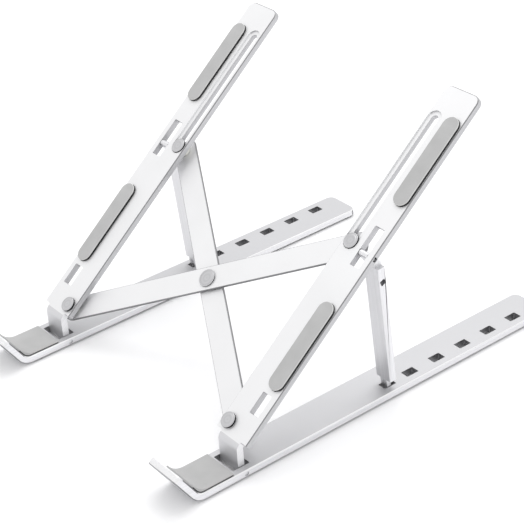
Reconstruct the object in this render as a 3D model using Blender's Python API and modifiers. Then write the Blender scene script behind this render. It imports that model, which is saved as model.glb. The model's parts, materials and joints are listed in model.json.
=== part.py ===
"""Folding laptop stand: two base rails, two arms joined by an X brace, and two swinging legs.

The stand faces -Y, where the two rails turn up into hooks.  The desk is z = 0, and the
origin is under the middle of the stand.  Sizes along a rail are counted rearward from the
hinge axis of the arms, which runs along X.  Sizes are in metres.
"""

import math

import bmesh
import bpy
from mathutils import Vector

# ---------------------------------------------------------------- driving sizes
RAIL_SPREAD = 0.1494        # distance between the centre lines of the two rails, opened
RAIL_WIDTH = 0.0220
RAIL_THICK = 0.0038
RAIL_REAR_Y = 0.1970        # rear end of a rail, behind the hinge axis
HOOK_CORNER_Y = -0.0283     # where the underside and the hook's outer face would meet
HOOK_LENGTH = 0.0205        # from that corner to the hook's tip
HOOK_ANGLE = math.radians(57.4)     # rise of the hook above the desk
HOOK_RADIUS = 0.0052        # inside of the bend
RAIL_CORNER = 0.0040        # rounded corners of the rail's rear end
HOOK_TIP_CORNER = 0.0030

STRIP_THICK = 0.00055       # anti-slip strips under the rails
STRIP_WIDTH = 0.0150
STRIP_CORNER = 0.0020
FRONT_STRIP_SPAN = (-0.0205, -0.0075)
MIDDLE_STRIP_SPAN = (0.0090, 0.0820)
REAR_STRIP_LENGTH = 0.0090
REAR_STRIP_TO_END = 0.0030

HOOK_PAD_THICK = 0.0009
HOOK_PAD_REAR_Y = -0.0066
HOOK_PAD_RISE = 0.0088      # how far the pad climbs the hook, along its outer face
HOOK_PAD_INSET = 0.0009     # margin to the rail's sides
HOOK_PAD_FILLET = 0.0100    # the pad's own radius in the corner

WINDOW_FRONT_Y = -0.0052    # opening in the rail for the arm's tongue
WINDOW_REAR_Y = 0.0046

NOTCH_COUNT = 6             # height steps in a rail
NOTCH_FRONT_Y = 0.0886      # front wall of the steepest notch
NOTCH_FIRST_PITCH = 0.0149
NOTCH_PITCH = 0.01794
NOTCH_LENGTH = 0.0074
LEG_INSET = 0.0044          # legs and notches sit this far outside a rail's centre line

ARM_ANGLE = math.radians(39.86)     # arm above the desk, legs in the steepest notch
ARM_WIDTH = 0.0222
ARM_THICK = 0.0035
ARM_LENGTH = 0.2030         # hinge axis to the upper end, along the arm
ARM_HEIGHT = 0.0113         # outer face above the hinge axis, square to the arm
ARM_SHOULDER = 0.0103       # where the full width starts
SHOULDER_CORNER = 0.0008
ARM_CORNER = 0.0040         # rounded corners of the upper end
TONGUE_WIDTH = 0.0140
TONGUE_THICK = 0.0036
TONGUE_BEND = 0.0012        # inside radius where the tongue turns into the arm
EYE_RADIUS = 0.0019

HINGE_PIN_RADIUS = 0.0010
LEG_PIN_RADIUS = 0.0011
LEG_PIN_RECESS = 0.0009     # pin end below the arm's outer side
LEG_PIN_BITE = 0.0020       # how far the pin enters the window's far wall

ARM_PAD_WIDTH = 0.0092
ARM_PAD_INSET = 0.0057      # pad centre line outside the arm's centre line
ARM_PAD_THICK = 0.0019
ARM_PAD_POCKET = 0.0005
UPPER_PAD_LENGTH = 0.0490
UPPER_PAD_TO_END = 0.0138   # from the pad to the arm's upper end
LOWER_PAD_SPAN = (0.0380, 0.0860)
TIP_WINDOW_SPAN = (0.0238, 0.0353)     # window for the leg's tip, near the arm's foot

LEG_PIVOT_AT = 0.1135       # leg pin along the arm
LEG_WINDOW_BELOW = 0.0076   # window in the arm below and above the leg pin
LEG_WINDOW_ABOVE = 0.0140
LEG_WINDOW_WIDTH = 0.0063
LEG_WIDTH = 0.0102
LEG_THICK = 0.0042
LEG_FOLD_GAP = 0.00065      # between the leg and the arm's underside when it is folded up
LEG_KNUCKLE_RADIUS = 0.0017
LEG_SHOULDER_AT = 0.0065    # round top of the leg below its pin
TAB_WIDTH = 0.0044
TAB_THICK = 0.0024
TAB_LENGTH = 0.0052
TAB_CHAMFER = 0.0006
TAB_ROOT = 0.0020           # how far the tab runs on inside the shank
TAB_HOLE_RADIUS = 0.0007
TAB_HOLE_UP = 0.0040        # hole above the tab's tip
LEG_EYE_SIZE = 0.0029       # square hole across the leg
LEG_EYE_TURN = math.radians(20)
LEG_EYE_CORNER = 0.0003
LEG_EYE_AT = 0.0158
FOOT_GAP = 0.0018           # tab behind the notch's front wall
FOOT_DEPTH = 0.0011         # tab's tip below the rail's top

BAR_WIDTH = 0.0130
BAR_THICK = 0.0015
BAR_TIP_CORNER = 0.0045     # corners of the bar ends that slide
BAR_TIP_REACH = 0.0062      # end of a bar past its sliding rivet
RIVET_INSET = 0.0062        # rivets sit this far inside an arm's centre line
LOWER_RIVET_AT = 0.0154
SLIDE_RIVET_AT = 0.1158
RIVET_HEAD_RADIUS = 0.0040
RIVET_HEAD_HEIGHT = 0.0013
RIVET_SHANK_RADIUS = 0.0018
RIVET_TAIL_RADIUS = 0.0030
RIVET_TAIL_HEIGHT = 0.0009
CENTRE_HEAD_RADIUS = 0.0047
CENTRE_HEAD_HEIGHT = 0.0005
TRACK_DEPTH = 0.0008        # shallow track for the sliding rivet's head

CLOSED_GAP = 0.0006         # between the two arms when the brace is closed
GAP = 0.0003                # running clearance between stacked pieces
SEAT = 0.00015              # gap under a pad that is glued down
FIT = 0.00015               # radial clearance round a pin

# ---------------------------------------------------------------- derived sizes
RAIL_Z = STRIP_THICK + SEAT
RAIL_TOP = RAIL_Z + RAIL_THICK
HINGE_Z = RAIL_Z + RAIL_THICK / 2
HINGE_Y = (HOOK_LENGTH * math.cos(HOOK_ANGLE) - HOOK_CORNER_Y - RAIL_REAR_Y) / 2
WINDOW_WIDTH = TONGUE_WIDTH + 2 * GAP
NOTCH_WIDTH = TAB_WIDTH + 2 * GAP
ARM_UNDER = ARM_HEIGHT - ARM_THICK
ARM_MID = ARM_HEIGHT - ARM_THICK / 2
UPPER_BAR_TOP = ARM_UNDER - GAP - CENTRE_HEAD_HEIGHT - SEAT
LOWER_BAR_TOP = UPPER_BAR_TOP - BAR_THICK - GAP
HALF_SPREAD = RAIL_SPREAD / 2
BRACE_SPAN = RAIL_SPREAD - 2 * RIVET_INSET
BRACE_RISE = SLIDE_RIVET_AT - LOWER_RIVET_AT
BAR_LENGTH = math.hypot(BRACE_SPAN, BRACE_RISE)
BAR_LEAN = math.atan2(BRACE_RISE, BRACE_SPAN)
CLOSED_SPAN = ARM_WIDTH + CLOSED_GAP - 2 * RIVET_INSET
SLIDE_END_AT = LOWER_RIVET_AT + math.sqrt(BAR_LENGTH ** 2 - CLOSED_SPAN ** 2)
UPPER_PAD_SPAN = (ARM_LENGTH - UPPER_PAD_TO_END - UPPER_PAD_LENGTH, ARM_LENGTH - UPPER_PAD_TO_END)
REAR_STRIP_END = RAIL_REAR_Y - REAR_STRIP_TO_END
STRIP_SPANS = {
    "front": FRONT_STRIP_SPAN,
    "middle": MIDDLE_STRIP_SPAN,
    "rear": (REAR_STRIP_END - REAR_STRIP_LENGTH, REAR_STRIP_END),
}
LEG_OFFSET = ARM_THICK / 2 + LEG_FOLD_GAP      # front face of the leg behind its pin axis
NECK_END = LEG_SHOULDER_AT + LEG_THICK * 0.31   # below the pin: from here the leg has its full width
LEG_PIVOT_Y = LEG_PIVOT_AT * math.cos(ARM_ANGLE) - ARM_MID * math.sin(ARM_ANGLE)
LEG_PIVOT_Z = HINGE_Z + LEG_PIVOT_AT * math.sin(ARM_ANGLE) + ARM_MID * math.cos(ARM_ANGLE)
FOOT_DY = NOTCH_FRONT_Y + FOOT_GAP - LEG_PIVOT_Y
FOOT_DZ = LEG_PIVOT_Z - (RAIL_TOP - FOOT_DEPTH)
LEG_REACH = math.sqrt(FOOT_DY ** 2 + FOOT_DZ ** 2 - LEG_OFFSET ** 2)
LEG_LEAN = math.atan2(FOOT_DY, FOOT_DZ) - math.atan2(LEG_OFFSET, LEG_REACH)

COLLECTION = "laptop_stand"
ARC_STEPS = 8
THROUGH = 0.03              # a cutter reaches this far, which is past every piece it cuts


# ---------------------------------------------------------------- helpers
def clear_scene():
    for obj in list(bpy.data.objects):
        bpy.data.objects.remove(obj, do_unlink=True)


def new_collection(name, hidden=False):
    coll = bpy.data.collections.new(name)
    bpy.context.scene.collection.children.link(coll)
    coll.hide_render = hidden
    return coll


def material(name, rgb, roughness, metallic):
    mat = bpy.data.materials.new(name)
    mat.use_nodes = True
    shader = mat.node_tree.nodes["Principled BSDF"]
    shader.inputs["Base Color"].default_value = (*rgb, 1.0)
    shader.inputs["Roughness"].default_value = roughness
    shader.inputs["Metallic"].default_value = metallic
    mat.diffuse_color = (*rgb, 1.0)
    return mat


def arc(centre, radius, start, end, steps=ARC_STEPS):
    """Points on a circle from one angle to another, in degrees."""
    points = []
    for i in range(steps + 1):
        angle = math.radians(start + (end - start) * i / steps)
        points.append((centre[0] + radius * math.cos(angle), centre[1] + radius * math.sin(angle)))
    return points


def stadium(start, end, radius, across=0.0):
    """Outline of a slot along Y with round ends."""
    points = arc((across, end - radius), radius, 0, 180)
    points += arc((across, start + radius), radius, 180, 360)
    return points


def rounded_box(x0, x1, y0, y1, radius):
    points = arc((x1 - radius, y1 - radius), radius, 0, 90, 6)
    points += arc((x0 + radius, y1 - radius), radius, 90, 180, 6)
    points += arc((x0 + radius, y0 + radius), radius, 180, 270, 6)
    points += arc((x1 - radius, y0 + radius), radius, 270, 360, 6)
    return points


def extruded(name, outline, start, end, axis="Z"):
    """A prism: the outline lies square to the axis and runs from start to end along it."""
    bm = bmesh.new()
    if axis == "Z":
        verts = [bm.verts.new((a, b, start)) for a, b in outline]
        step = Vector((0, 0, end - start))
    else:
        verts = [bm.verts.new((start, a, b)) for a, b in outline]
        step = Vector((end - start, 0, 0))
    bmesh.ops.remove_doubles(bm, verts=verts, dist=1e-7)
    face = bm.faces.new(bm.verts)
    grown = bmesh.ops.extrude_face_region(bm, geom=[face])
    moved = [g for g in grown["geom"] if isinstance(g, bmesh.types.BMVert)]
    bmesh.ops.translate(bm, verts=moved, vec=step)
    bmesh.ops.recalc_face_normals(bm, faces=bm.faces)
    mesh = bpy.data.meshes.new(name)
    bm.to_mesh(mesh)
    bm.free()
    return bpy.data.objects.new(name, mesh)


def turned(name, profile, segments=28):
    """A lathe part about Z: (radius, height) pairs from the top of the axis to its bottom."""
    mesh = bpy.data.meshes.new(name)
    verts = [(radius, 0, height) for radius, height in profile]
    edges = [(i, i + 1) for i in range(len(verts) - 1)]
    mesh.from_pydata(verts, edges, [])
    obj = bpy.data.objects.new(name, mesh)
    screw = obj.modifiers.new("lathe", "SCREW")
    screw.axis = "Z"
    screw.steps = segments
    screw.render_steps = segments
    screw.use_merge_vertices = True
    screw.merge_threshold = 0.00001
    return obj


def cross_pin(name, radius, length, segments=24, chamfer=0.0002):
    """A plain pin along X with small chamfers, centred on its origin."""
    half = length / 2
    profile = [(0, half), (radius - chamfer, half), (radius, half - chamfer)]
    profile += [(radius, chamfer - half), (radius - chamfer, -half), (0, -half)]
    obj = turned(name, profile, segments)
    obj.rotation_euler = (0, math.pi / 2, 0)
    return obj


def place(obj, parent, location=(0, 0, 0), mat=None, collection=None):
    obj.location = location
    obj.parent = parent
    if mat is not None:
        obj.data.materials.append(mat)
    collection.objects.link(obj)
    return obj


def frame(name, parent, location, tilt, collection, turn=0.0):
    """An empty that holds one moving group: its origin lies on the group's joint axis."""
    obj = bpy.data.objects.new(name, None)
    obj.empty_display_size = 0.01
    obj.location = location
    obj.rotation_euler = (tilt, 0, turn)
    obj.parent = parent
    collection.objects.link(obj)
    return obj


class Cutters:
    """Hidden solids that cut or join, kept in a collection of their own."""

    def __init__(self, collection):
        self.collection = collection

    def add(self, tool, parent, location=(0, 0, 0)):
        tool.location = location
        tool.parent = parent
        tool.display_type = "WIRE"
        tool.hide_render = True
        self.collection.objects.link(tool)
        return tool

    def apply(self, target, tool, operation="DIFFERENCE"):
        mod = target.modifiers.new(tool.name, "BOOLEAN")
        mod.object = tool
        mod.operation = operation
        mod.solver = "EXACT"


def chamfer(obj, width, angle=30.0, segments=1):
    mod = obj.modifiers.new("edges", "BEVEL")
    mod.width = width
    mod.segments = segments
    mod.limit_method = "ANGLE"
    mod.angle_limit = math.radians(angle)
    mod.use_clamp_overlap = True


def round_corners(obj, test, radius, segments=6):
    """Rounds a raw plate's corners: edges across its thickness whose ends both pass the test."""
    bm = bmesh.new()
    bm.from_mesh(obj.data)
    edges = [e for e in bm.edges if all(test(v.co) for v in e.verts)]
    edges = [e for e in edges if abs(e.verts[0].co.x - e.verts[1].co.x) < 1e-7]
    bmesh.ops.bevel(bm, geom=edges, offset=radius, segments=segments, profile=0.5, affect="EDGES")
    bm.to_mesh(obj.data)
    bm.free()


# ---------------------------------------------------------------- outlines
def hook_profile(inner, outer, rear_y, tip, radius_inner, radius_outer):
    """Side view of the rail: a plate whose faces lie inner and outer above its underside.

    Both faces turn up by HOOK_ANGLE about one corner line.  tip is measured along the
    outer face from the underside's own corner.
    """
    turn = HOOK_ANGLE
    half = math.tan(turn / 2)
    along = Vector((-math.cos(turn), math.sin(turn)))
    inward = Vector((math.sin(turn), math.cos(turn)))
    corner = Vector((HOOK_CORNER_Y, RAIL_Z))

    def corner_at(height):
        return corner + Vector((height * half, height))

    def bend(height, radius):
        centre = corner_at(height) + Vector((radius * half, radius))
        return arc(centre, radius, 270, 270 - math.degrees(turn))

    lower = bend(inner, radius_inner)
    upper = bend(outer, radius_outer)
    tip_point = corner + along * tip
    points = [(rear_y, RAIL_Z + inner)]
    points += lower
    points.append(tuple(tip_point + inward * inner))
    points.append(tuple(tip_point + inward * outer))
    points += list(reversed(upper))
    points.append((rear_y, RAIL_Z + outer))
    return points


def arm_profile():
    """Side view of an arm in its own frame: eye, tongue, bend and plate."""
    lean = math.pi / 2 - ARM_ANGLE
    up = Vector((math.cos(lean), math.sin(lean)))
    rear = Vector((math.sin(lean), -math.cos(lean)))
    half = TONGUE_THICK / 2

    def bend(side, height, radius):
        """Arc where a tongue face (side of the mid plane) meets a plate face."""
        start = rear * side
        reach = (height - start.y) / up.y
        corner = start + up * reach
        tangent = radius * math.tan(lean / 2)
        first = corner - up * tangent
        centre = first + rear * radius
        begin = math.degrees(math.atan2(-rear.y, -rear.x))
        return arc(centre, radius, begin, begin - math.degrees(lean))

    outer = bend(-half, ARM_HEIGHT, TONGUE_BEND + ARM_THICK)
    inner = bend(half, ARM_UNDER, TONGUE_BEND)
    eye_open = math.degrees(math.asin(half / EYE_RADIUS))
    base = math.degrees(math.atan2(up.y, up.x))
    eye = arc((0, 0), EYE_RADIUS, base + eye_open, base + 360 - eye_open, 16)
    points = eye + inner + [(ARM_LENGTH, ARM_UNDER), (ARM_LENGTH, ARM_HEIGHT)]
    points += list(reversed(outer))
    return points


def leg_profile():
    """Side view of a leg in its own frame: neck and shank, down to the tab's shoulder."""
    radius = LEG_THICK / 2
    shoulder = Vector((LEG_OFFSET + radius, -LEG_SHOULDER_AT))
    direction = math.degrees(math.atan2(shoulder.y, shoulder.x))
    end = TAB_LENGTH - LEG_REACH
    points = arc((0, 0), LEG_KNUCKLE_RADIUS, direction + 90, direction + 270, 12)
    points.append((LEG_OFFSET, -NECK_END))
    points.append((LEG_OFFSET, end))
    points.append((LEG_OFFSET + LEG_THICK, end))
    points += arc(shoulder, radius, 0, direction + 90, 6)
    return points


def bar_outline():
    """Plan of a brace bar along X: round at its hinged end, squarer at its sliding end."""
    half = BAR_WIDTH / 2
    points = arc((0, 0), half, 90, 270, 14)
    tip = BAR_LENGTH + BAR_TIP_REACH - BAR_TIP_CORNER
    points += arc((tip, BAR_TIP_CORNER - half), BAR_TIP_CORNER, 270, 360, 6)
    points += arc((tip, half - BAR_TIP_CORNER), BAR_TIP_CORNER, 0, 90, 6)
    return points


def rivet_profile(head_bottom, head_radius, head_height, tail_top):
    """Flat-headed rivet about Z: head above head_bottom, tail below tail_top."""
    edge = head_height * 0.3
    return [
        (0, head_bottom + head_height),
        (head_radius - 1.6 * edge, head_bottom + head_height),
        (head_radius, head_bottom + head_height - edge),
        (head_radius, head_bottom),
        (RIVET_SHANK_RADIUS, head_bottom),
        (RIVET_SHANK_RADIUS, tail_top),
        (RIVET_TAIL_RADIUS, tail_top),
        (RIVET_TAIL_RADIUS, tail_top - RIVET_TAIL_HEIGHT * 0.5),
        (RIVET_TAIL_RADIUS * 0.8, tail_top - RIVET_TAIL_HEIGHT),
        (0, tail_top - RIVET_TAIL_HEIGHT),
    ]


def notch_fronts():
    """Front walls of the height notches, steepest first."""
    second = NOTCH_FRONT_Y + NOTCH_FIRST_PITCH
    return [NOTCH_FRONT_Y] + [second + NOTCH_PITCH * i for i in range(NOTCH_COUNT - 1)]


# ---------------------------------------------------------------- pieces of one side
def build_rail(side, sign, rail_frame, parts, cutters, mats):
    """Base rail with its hook, notches, window and hinge pin; local origin on the hinge axis."""
    half = RAIL_WIDTH / 2
    shift = Vector((0, 0, -HINGE_Z))
    outline = hook_profile(0, RAIL_THICK, RAIL_REAR_Y, HOOK_LENGTH,
                           HOOK_RADIUS + RAIL_THICK, HOOK_RADIUS)
    outline = [(y, z + shift.z) for y, z in outline]
    rail = extruded(f"{side}_base_rail", outline, -half, half, "X")
    round_corners(rail, lambda co: co.y > RAIL_REAR_Y - 1e-5, RAIL_CORNER)
    tip_height = HOOK_LENGTH * math.sin(HOOK_ANGLE) + RAIL_Z - HINGE_Z - 1e-5
    round_corners(rail, lambda co: co.z > tip_height, HOOK_TIP_CORNER, 4)
    chamfer(rail, 0.0005)
    place(rail, rail_frame, mat=mats["aluminium"], collection=parts)

    window = rounded_box(-WINDOW_WIDTH / 2, WINDOW_WIDTH / 2, WINDOW_FRONT_Y, WINDOW_REAR_Y, 0.0006)
    tool = extruded(f"{side}_rail_window_cut", window, -RAIL_THICK, RAIL_THICK)
    cutters.apply(rail, cutters.add(tool, rail_frame))
    across = sign * LEG_INSET
    for i, front in enumerate(notch_fronts()):
        notch = rounded_box(-NOTCH_WIDTH / 2, NOTCH_WIDTH / 2, front, front + NOTCH_LENGTH, 0.0005)
        tool = extruded(f"{side}_notch_cut_{i + 1}", notch, -RAIL_THICK, RAIL_THICK)
        cutters.apply(rail, cutters.add(tool, rail_frame, (across, 0, 0)))
    bore = cross_pin(f"{side}_hinge_bore_cut", HINGE_PIN_RADIUS + FIT, RAIL_WIDTH * 1.2)
    cutters.apply(rail, cutters.add(bore, rail_frame))

    pin = cross_pin(f"{side}_hinge_pin", HINGE_PIN_RADIUS, RAIL_WIDTH - 2 * GAP)
    place(pin, rail_frame, mat=mats["steel"], collection=parts)

    seat = RAIL_THICK + SEAT
    pad = hook_profile(seat, seat + HOOK_PAD_THICK, HOOK_PAD_REAR_Y, HOOK_PAD_RISE,
                       HOOK_RADIUS - SEAT, HOOK_PAD_FILLET)
    pad = [(y, z + shift.z) for y, z in pad]
    pad_half = half - HOOK_PAD_INSET
    pad = extruded(f"{side}_hook_pad", pad, -pad_half, pad_half, "X")
    place(pad, rail_frame, mat=mats["silicone"], collection=parts)

    for name, (start, end) in STRIP_SPANS.items():
        outline = rounded_box(-STRIP_WIDTH / 2, STRIP_WIDTH / 2, start, end, STRIP_CORNER)
        strip = extruded(f"{side}_{name}_grip_strip", outline, -HINGE_Z, STRIP_THICK - HINGE_Z)
        place(strip, rail_frame, mat=mats["rubber"], collection=parts)


def build_arm(side, sign, arm_frame, parts, cutters, mats):
    """Arm plate with its tongue, windows, slide slot and pads, in the arm's own frame."""
    half = ARM_WIDTH / 2
    arm = extruded(f"{side}_arm", arm_profile(), -half, half, "X")
    round_corners(arm, lambda co: co.y > ARM_LENGTH - 1e-5, ARM_CORNER)
    chamfer(arm, 0.0004, 40)
    place(arm, arm_frame, mat=mats["bright"], collection=parts)

    for edge in (-1, 1):
        inner = edge * TONGUE_WIDTH / 2
        outer = edge * ARM_WIDTH
        low, high = sorted((inner, outer))
        shoulder = rounded_box(low, high, -THROUGH, ARM_SHOULDER, SHOULDER_CORNER)
        tool = extruded(f"{side}_shoulder_cut_{edge}", shoulder, -THROUGH, THROUGH)
        cutters.apply(arm, cutters.add(tool, arm_frame))

    bore = cross_pin(f"{side}_tongue_bore_cut", HINGE_PIN_RADIUS + FIT, TONGUE_WIDTH * 1.5)
    cutters.apply(arm, cutters.add(bore, arm_frame))

    leg_at = sign * LEG_INSET
    width = LEG_WINDOW_WIDTH / 2
    start = LEG_PIVOT_AT - LEG_WINDOW_BELOW
    end = LEG_PIVOT_AT + LEG_WINDOW_ABOVE
    for name, (low, high) in {"leg": (start, end), "tip": TIP_WINDOW_SPAN}.items():
        window = rounded_box(-width, width, low, high, 0.0004)
        tool = extruded(f"{side}_{name}_window_cut", window, 0, THROUGH)
        cutters.apply(arm, cutters.add(tool, arm_frame, (leg_at, 0, 0)))

    pin_length = half - LEG_INSET + LEG_WINDOW_WIDTH / 2 + LEG_PIN_BITE
    pin_end = half - LEG_PIN_RECESS
    pin_start = pin_end - pin_length
    bore = cross_pin(f"{side}_leg_pin_bore_cut", LEG_PIN_RADIUS + FIT, 2 * pin_length)
    bore_at = sign * (pin_start - GAP + pin_length)
    cutters.apply(arm, cutters.add(bore, arm_frame, (bore_at, LEG_PIVOT_AT, ARM_MID)))
    pin = cross_pin(f"{side}_leg_pin", LEG_PIN_RADIUS, pin_length)
    pin_at = sign * (pin_start + pin_end) / 2
    place(pin, arm_frame, (pin_at, LEG_PIVOT_AT, ARM_MID), mats["steel"], parts)

    rivet_at = -sign * RIVET_INSET
    shank = RIVET_SHANK_RADIUS + GAP
    slot = stadium(SLIDE_RIVET_AT - shank, SLIDE_END_AT + shank, shank)
    tool = extruded(f"{side}_slide_slot_cut", slot, 0, THROUGH)
    cutters.apply(arm, cutters.add(tool, arm_frame, (rivet_at, 0, 0)))
    head = RIVET_HEAD_RADIUS + GAP
    track = stadium(SLIDE_RIVET_AT - head, SLIDE_END_AT + head, head)
    tool = extruded(f"{side}_slide_track_cut", track, ARM_HEIGHT - TRACK_DEPTH, THROUGH)
    cutters.apply(arm, cutters.add(tool, arm_frame, (rivet_at, 0, 0)))
    hole = stadium(LOWER_RIVET_AT - shank, LOWER_RIVET_AT + shank, shank)
    tool = extruded(f"{side}_lower_rivet_cut", hole, 0, THROUGH)
    cutters.apply(arm, cutters.add(tool, arm_frame, (rivet_at, 0, 0)))

    pad_at = sign * ARM_PAD_INSET
    for name, (low, high) in {"upper": UPPER_PAD_SPAN, "lower": LOWER_PAD_SPAN}.items():
        pocket = stadium(low - SEAT, high + SEAT, ARM_PAD_WIDTH / 2 + SEAT)
        tool = extruded(f"{side}_{name}_pad_cut", pocket, ARM_HEIGHT - ARM_PAD_POCKET, THROUGH)
        cutters.apply(arm, cutters.add(tool, arm_frame, (pad_at, 0, 0)))
        bottom = ARM_HEIGHT - ARM_PAD_POCKET + SEAT
        pad = extruded(f"{side}_{name}_arm_pad", stadium(low, high, ARM_PAD_WIDTH / 2),
                       bottom, bottom + ARM_PAD_THICK)
        chamfer(pad, 0.0003, 60)
        place(pad, arm_frame, (pad_at, 0, 0), mats["silicone"], parts)


def build_leg(side, leg_frame, parts, cutters, mats):
    """Swinging leg about its pin: neck and shank, with a narrow tab that drops into a notch."""
    half = LEG_WIDTH / 2
    leg = extruded(f"{side}_leg", leg_profile(), -half, half, "X")
    chamfer(leg, 0.0003, 50)
    place(leg, leg_frame, mat=mats["satin"], collection=parts)

    neck = LEG_WINDOW_WIDTH / 2 - GAP
    for edge in (-1, 1):
        low, high = sorted((edge * neck, edge * LEG_WIDTH))
        relief = [(low, -THROUGH), (high, -THROUGH), (high, THROUGH), (low, THROUGH)]
        tool = extruded(f"{side}_neck_cut_{edge}", relief, -NECK_END, THROUGH)
        cutters.apply(leg, cutters.add(tool, leg_frame))

    tab_half = TAB_WIDTH / 2
    low_y, high_y = LEG_OFFSET, LEG_OFFSET + TAB_THICK
    tip = -LEG_REACH
    root = tip + TAB_LENGTH + TAB_ROOT
    outline = [(low_y, root), (low_y, tip + TAB_CHAMFER), (low_y + TAB_CHAMFER, tip)]
    outline += [(high_y - TAB_CHAMFER, tip), (high_y, tip + TAB_CHAMFER), (high_y, root)]
    tab = extruded(f"{side}_tab_join", outline, -tab_half, tab_half, "X")
    cutters.apply(leg, cutters.add(tab, leg_frame), "UNION")

    hole = cross_pin(f"{side}_tab_hole_cut", TAB_HOLE_RADIUS, LEG_THICK * 3, 16)
    hole.rotation_euler = (math.pi / 2, 0, 0)
    cutters.apply(leg, cutters.add(hole, leg_frame, (0, LEG_OFFSET, tip + TAB_HOLE_UP)))
    bore = cross_pin(f"{side}_knuckle_bore_cut", LEG_PIN_RADIUS + FIT, LEG_WIDTH * 2)
    cutters.apply(leg, cutters.add(bore, leg_frame))
    size = LEG_EYE_SIZE / 2
    eye = rounded_box(-size, size, -size, size, LEG_EYE_CORNER)
    eye = extruded(f"{side}_leg_eye_cut", eye, -LEG_WIDTH, LEG_WIDTH, "X")
    eye.rotation_euler = (LEG_EYE_TURN, 0, 0)
    cutters.apply(leg, cutters.add(eye, leg_frame, (0, LEG_OFFSET + LEG_THICK / 2, -LEG_EYE_AT)))


def build_side(side, sign, parts, cutters, mats):
    rail_frame = frame(f"{side}_rail_frame", None, (sign * HALF_SPREAD, HINGE_Y, HINGE_Z), 0, parts)
    build_rail(side, sign, rail_frame, parts, cutters, mats)
    arm_frame = frame(f"{side}_arm_frame", rail_frame, (0, 0, 0), ARM_ANGLE, parts)
    build_arm(side, sign, arm_frame, parts, cutters, mats)
    pivot = (sign * LEG_INSET, LEG_PIVOT_AT, ARM_MID)
    leg_frame = frame(f"{side}_leg_frame", arm_frame, pivot, LEG_LEAN - ARM_ANGLE, parts)
    build_leg(side, leg_frame, parts, cutters, mats)


# ---------------------------------------------------------------- the X brace
def build_brace(parts, cutters, mats):
    """Two crossed bars under the arms, three fixed rivets and two that slide."""
    inset = HALF_SPREAD - RIVET_INSET
    brace = frame("brace_frame", None, (0, HINGE_Y, HINGE_Z), ARM_ANGLE, parts)
    levels = {"upper_brace_bar": (UPPER_BAR_TOP, -1), "lower_brace_bar": (LOWER_BAR_TOP, 1)}
    for name, (top, start_side) in levels.items():
        turn = BAR_LEAN if start_side < 0 else math.pi - BAR_LEAN
        pivot = (start_side * inset, LOWER_RIVET_AT, 0)
        bar_frame = frame(f"{name}_frame", brace, pivot, 0, parts, turn)
        bar = extruded(name, bar_outline(), top - BAR_THICK, top)
        chamfer(bar, 0.0002, 40)
        place(bar, bar_frame, mat=mats["bright"], collection=parts)
        for spot, distance in {"start": 0.0, "middle": BAR_LENGTH / 2, "end": BAR_LENGTH}.items():
            radius = RIVET_SHANK_RADIUS + FIT
            hole = stadium(-radius, radius, radius)
            tool = extruded(f"{name}_{spot}_cut", hole, 0, ARM_HEIGHT)
            cutters.apply(bar, cutters.add(tool, bar_frame, (distance, 0, 0)))

    upper_tail = UPPER_BAR_TOP - BAR_THICK - GAP
    lower_tail = LOWER_BAR_TOP - BAR_THICK - GAP
    head = ARM_HEIGHT + SEAT
    track_head = ARM_HEIGHT - TRACK_DEPTH + SEAT
    rivets = {
        "left_lower_rivet": (-inset, LOWER_RIVET_AT, head, upper_tail),
        "right_lower_rivet": (inset, LOWER_RIVET_AT, head, lower_tail),
        "left_slide_rivet": (-inset, SLIDE_RIVET_AT, track_head, lower_tail),
        "right_slide_rivet": (inset, SLIDE_RIVET_AT, track_head, upper_tail),
    }
    for name, (across, along, bottom, tail) in rivets.items():
        profile = rivet_profile(bottom, RIVET_HEAD_RADIUS, RIVET_HEAD_HEIGHT, tail)
        place(turned(name, profile), brace, (across, along, 0), mats["steel"], parts)
    middle = (0, (LOWER_RIVET_AT + SLIDE_RIVET_AT) / 2, 0)
    profile = rivet_profile(UPPER_BAR_TOP + SEAT, CENTRE_HEAD_RADIUS, CENTRE_HEAD_HEIGHT, lower_tail)
    place(turned("centre_rivet", profile), brace, middle, mats["steel"], parts)

    inner = RIVET_SHANK_RADIUS + FIT
    outer = RIVET_HEAD_RADIUS * 0.8
    top = ARM_UNDER - SEAT
    spacers = {
        "left_lower_spacer": (-inset, LOWER_RIVET_AT, UPPER_BAR_TOP),
        "right_lower_spacer": (inset, LOWER_RIVET_AT, LOWER_BAR_TOP),
        "left_slide_spacer": (-inset, SLIDE_RIVET_AT, LOWER_BAR_TOP),
        "right_slide_spacer": (inset, SLIDE_RIVET_AT, UPPER_BAR_TOP),
    }
    for name, (across, along, bar_top) in spacers.items():
        bottom = bar_top + SEAT
        ring = [(inner, top), (outer, top), (outer, bottom), (inner, bottom), (inner, top)]
        place(turned(name, ring), brace, (across, along, 0), mats["nylon"], parts)


def main():
    clear_scene()
    parts = new_collection(COLLECTION)
    cutters = Cutters(new_collection("cutters", hidden=True))
    mats = {
        "aluminium": material("satin_aluminium_base", (0.72, 0.72, 0.73), 0.42, 1.0),
        "bright": material("satin_aluminium_arm", (0.88, 0.88, 0.88), 0.38, 1.0),
        "satin": material("satin_aluminium_leg", (0.76, 0.76, 0.77), 0.40, 1.0),
        "steel": material("nickel_plated_steel", (0.55, 0.55, 0.55), 0.35, 1.0),
        "silicone": material("grey_silicone", (0.42, 0.42, 0.41), 0.75, 0.0),
        "rubber": material("dark_rubber", (0.08, 0.08, 0.08), 0.8, 0.0),
        "nylon": material("white_nylon", (0.75, 0.75, 0.72), 0.6, 0.0),
    }
    for side, sign in (("left", -1), ("right", 1)):
        build_side(side, sign, parts, cutters, mats)
    build_brace(parts, cutters, mats)


main()
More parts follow.
